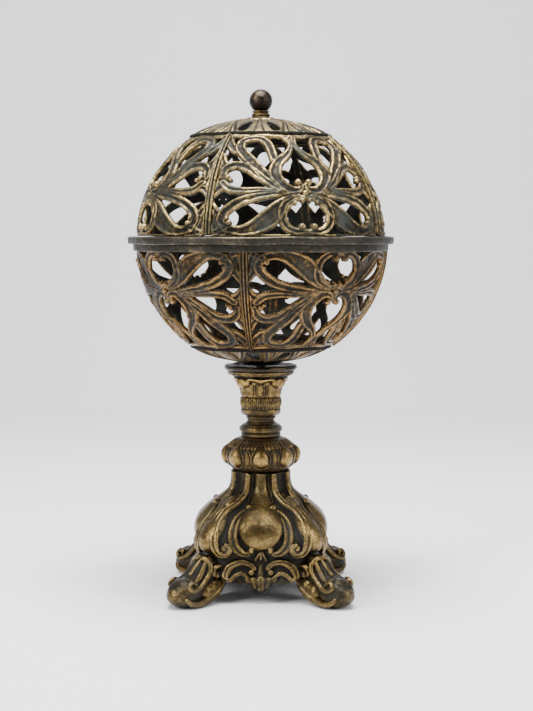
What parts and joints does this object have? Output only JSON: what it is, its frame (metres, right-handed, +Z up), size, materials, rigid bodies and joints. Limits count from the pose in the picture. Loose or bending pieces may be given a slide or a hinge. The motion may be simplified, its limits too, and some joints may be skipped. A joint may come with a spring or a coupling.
{
  "type": "pierced globe holder",
  "caption": "Hollow globe of pierced scrollwork, split at its equator into a lift-off lid and a bowl, on a turned stem and a four-sided baroque base with scroll feet.",
  "frame": {"origin": "on the surface it stands on, under the middle of the base", "axes": "+Z up along the stem, -Y the way one face of the base looks, +X to that face's right as it is looked at"},
  "size_m": [0.1742, 0.1742, 0.3305],
  "materials": {
    "lid_brass": "old pale gilding on cast brass, grey-black patina in the hollows",
    "bowl_brass": "browner worn gilding, dark patina in the hollows",
    "rim_bronze": "near-black patina with small worn spots",
    "base_brass": "golden brown on the high places, green-black in the hollows",
    "dark_bronze": "dark polished",
    "steel": "dull zinc"
  },
  "bodies": {
    "stand": {"bowl_rim": "rim_bronze", "bowl_panel_1": "bowl_brass", "bowl_panel_2": "bowl_brass", "bowl_panel_3": "bowl_brass", "bowl_panel_4": "bowl_brass", "bowl_rib_1": "bowl_brass", "bowl_rib_2": "bowl_brass", "bowl_rib_3": "bowl_brass", "bowl_rib_4": "bowl_brass", "bowl_cap": "bowl_brass", "globe_seat": "dark_bronze", "top_disc": "dark_bronze", "capital": "base_brass", "stem_ring": "base_brass", "knop": "base_brass", "base": "base_brass", "foot_front_right": "base_brass", "foot_back_right": "base_brass", "foot_back_left": "base_brass", "foot_front_left": "base_brass", "tie_rod": "steel", "top_washer": "steel", "top_nut": "steel", "bottom_washer": "steel", "bottom_nut": "steel"},
    "lid_ring": {"lid_rim": "rim_bronze"},
    "lid": {"finial": "dark_bronze", "finial_washer": "steel", "finial_nut": "steel", "lid_cap": "lid_brass", "lid_panel_1": "lid_brass", "lid_panel_2": "lid_brass", "lid_panel_3": "lid_brass", "lid_panel_4": "lid_brass", "lid_rib_1": "lid_brass", "lid_rib_2": "lid_brass", "lid_rib_3": "lid_brass", "lid_rib_4": "lid_brass"}
  },
  "joints": [
    {"name": "lid_lift", "type": "slide", "parent": "stand", "child": "lid_ring", "axis": [0, 0, 1], "range_m": [0, 0.12]},
    {"name": "lid_turn", "type": "hinge", "parent": "lid_ring", "child": "lid", "pos_m": [0, 0, 0.2353], "axis": [0, 0, 1], "continuous": true}
  ]
}
